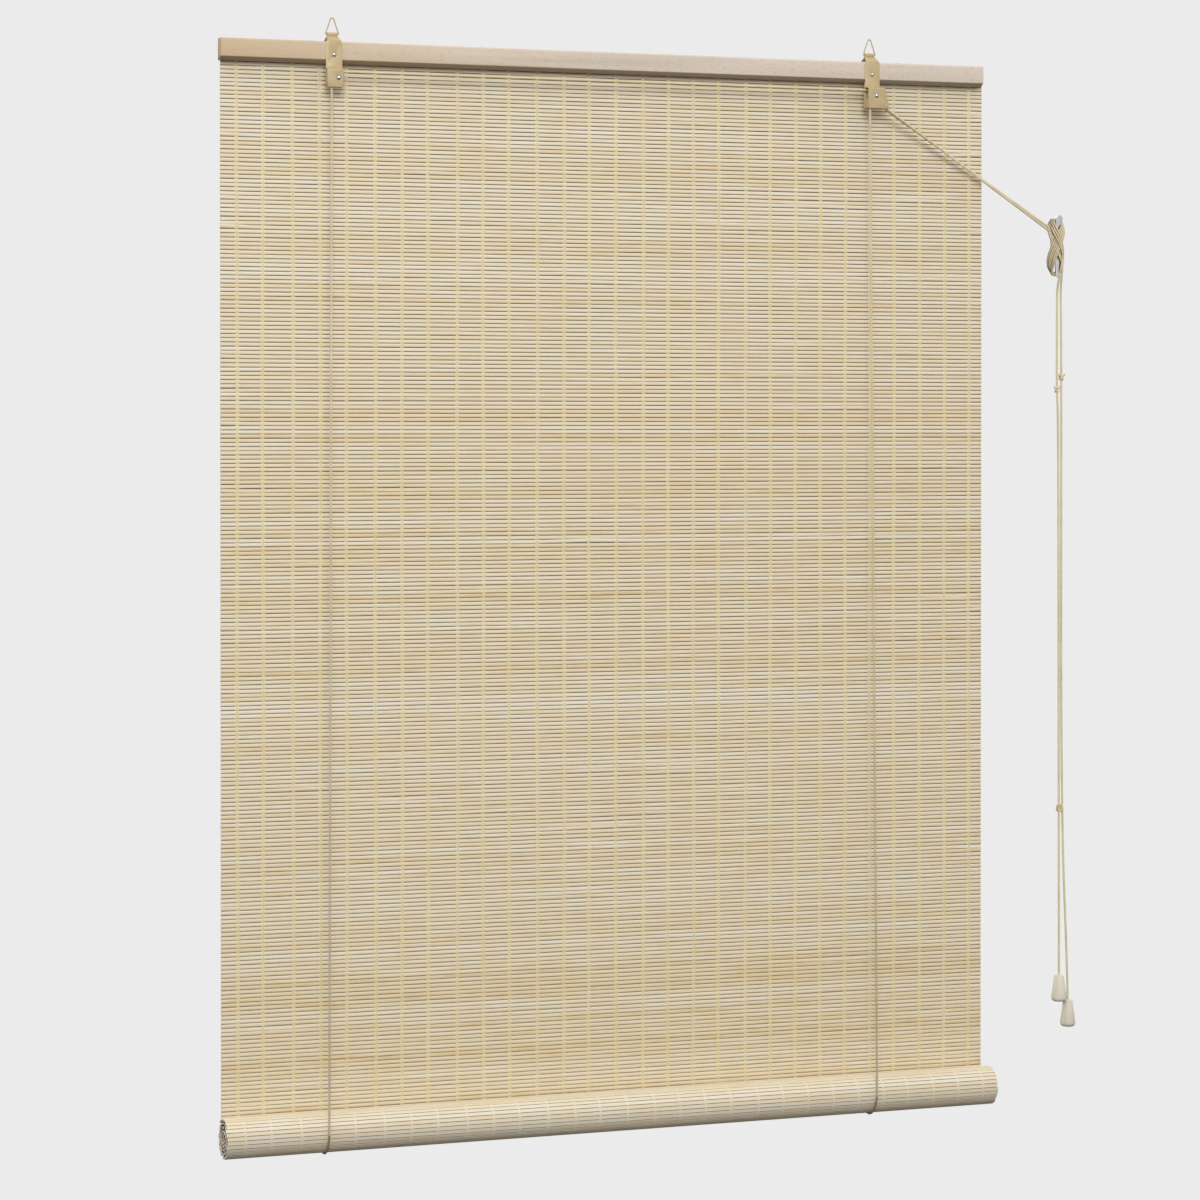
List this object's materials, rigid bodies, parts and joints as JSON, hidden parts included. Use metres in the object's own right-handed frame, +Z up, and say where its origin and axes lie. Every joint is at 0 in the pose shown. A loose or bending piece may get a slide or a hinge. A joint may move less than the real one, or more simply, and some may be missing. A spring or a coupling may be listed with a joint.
{
  "type": "roll up blind",
  "caption": "Bamboo roll up blind: wooden head rail on hanger rings, slat mat rolled up at its foot, lift cords over pulleys to a wall cleat and tassels.",
  "frame": {"origin": "on the hook line, where the two hanger rings bear on their hooks, midway along the mat's width", "axes": "+X along the head rail to the cleat's side, +Y to the wall behind, +Z up"},
  "size_m": [1.1381, 0.0648, 1.3678],
  "materials": {
    "rail_wood": "clear varnish",
    "bamboo": "raw split bamboo",
    "thread": "spun cotton",
    "painted_steel": "ivory paint",
    "bright_steel": "zinc plate",
    "nylon": "moulded",
    "cord": "twisted cotton cord",
    "tassel_wood": "turned, clear varnish"
  },
  "bodies": {
    "blind": {"head_rail": "rail_wood", "slat_mat": "bamboo", "front_threads": "thread", "back_threads": "thread", "left_bracket": "painted_steel", "right_bracket": "painted_steel", "left_cage_plate": "painted_steel", "right_cage_plate": "painted_steel", "bracket_screws": "bright_steel", "axle_rivets": "bright_steel", "exit_pin": "bright_steel", "mat_staples": "bright_steel", "cord_staples": "bright_steel", "cleat": "bright_steel", "left_cord_head": "cord", "left_cord_front": "cord", "left_cord_back": "cord", "right_cord_head": "cord", "right_cord_front": "cord", "right_cord_back": "cord", "pull_cord_1": "cord", "pull_cord_2": "cord", "cord_hank": "cord", "drop_cord_1": "cord", "drop_cord_2": "cord", "upper_knot_1": "cord", "upper_knot_2": "cord", "joint_knot": "cord", "tassel_knots": "cord", "tassel_1": "tassel_wood", "tassel_2": "tassel_wood"},
    "slings": {"cord_slings": "cord"},
    "roll": {"mat_roll": "bamboo", "bottom_batten": "bamboo"},
    "left_pulley_wheel": {"left_pulley": "nylon"},
    "right_front_wheel": {"right_front_pulley": "nylon"},
    "right_rear_wheel": {"right_rear_pulley": "nylon"},
    "exit_wheel": {"exit_roller": "bright_steel"},
    "left_hanger": {"left_ring": "bright_steel"},
    "right_hanger": {"right_ring": "bright_steel"}
  },
  "joints": [
    {"name": "lift", "type": "slide", "parent": "blind", "child": "slings", "axis": [0, 0, 1], "range_m": [0, 1.12], "deforming": ["slat_mat", "front_threads", "back_threads", "left_cord_front", "right_cord_front", "left_cord_back", "right_cord_back"]},
    {"name": "roll_turn", "type": "hinge", "parent": "slings", "child": "roll", "pos_m": [-0.0012, -0.0154, -1.33688], "axis": [1, 0, 0], "range_deg": [-2600, 0]},
    {"name": "left_pulley_spin", "type": "hinge", "parent": "blind", "child": "left_pulley_wheel", "pos_m": [-0.361, -0.0124, -0.072], "axis": [0, 1, 0], "continuous": true},
    {"name": "right_front_pulley_spin", "type": "hinge", "parent": "blind", "child": "right_front_wheel", "pos_m": [0.3385, -0.0188, -0.072], "axis": [0, 1, 0], "continuous": true},
    {"name": "right_rear_pulley_spin", "type": "hinge", "parent": "blind", "child": "right_rear_wheel", "pos_m": [0.3385, -0.0124, -0.072], "axis": [0, 1, 0], "continuous": true},
    {"name": "exit_roller_spin", "type": "hinge", "parent": "blind", "child": "exit_wheel", "pos_m": [0.35055, -0.0156, -0.08], "axis": [0, 1, 0], "continuous": true},
    {"name": "left_ring_swing", "type": "hinge", "parent": "blind", "child": "left_hanger", "pos_m": [-0.365, 0, -0.0189], "axis": [1, 0, 0], "range_deg": [-100, 100]},
    {"name": "right_ring_swing", "type": "hinge", "parent": "blind", "child": "right_hanger", "pos_m": [0.338, 0, -0.0189], "axis": [1, 0, 0], "range_deg": [-100, 100]}
  ],
  "couplings": [
    {"joint": "roll_turn", "follows": "lift", "rad_per_m": -39.216},
    {"joint": "left_pulley_spin", "follows": "lift", "rad_per_m": 266.67},
    {"joint": "right_front_pulley_spin", "follows": "lift", "rad_per_m": 266.67},
    {"joint": "right_rear_pulley_spin", "follows": "lift", "rad_per_m": 266.67},
    {"joint": "exit_roller_spin", "follows": "lift", "rad_per_m": -606.06}
  ]
}
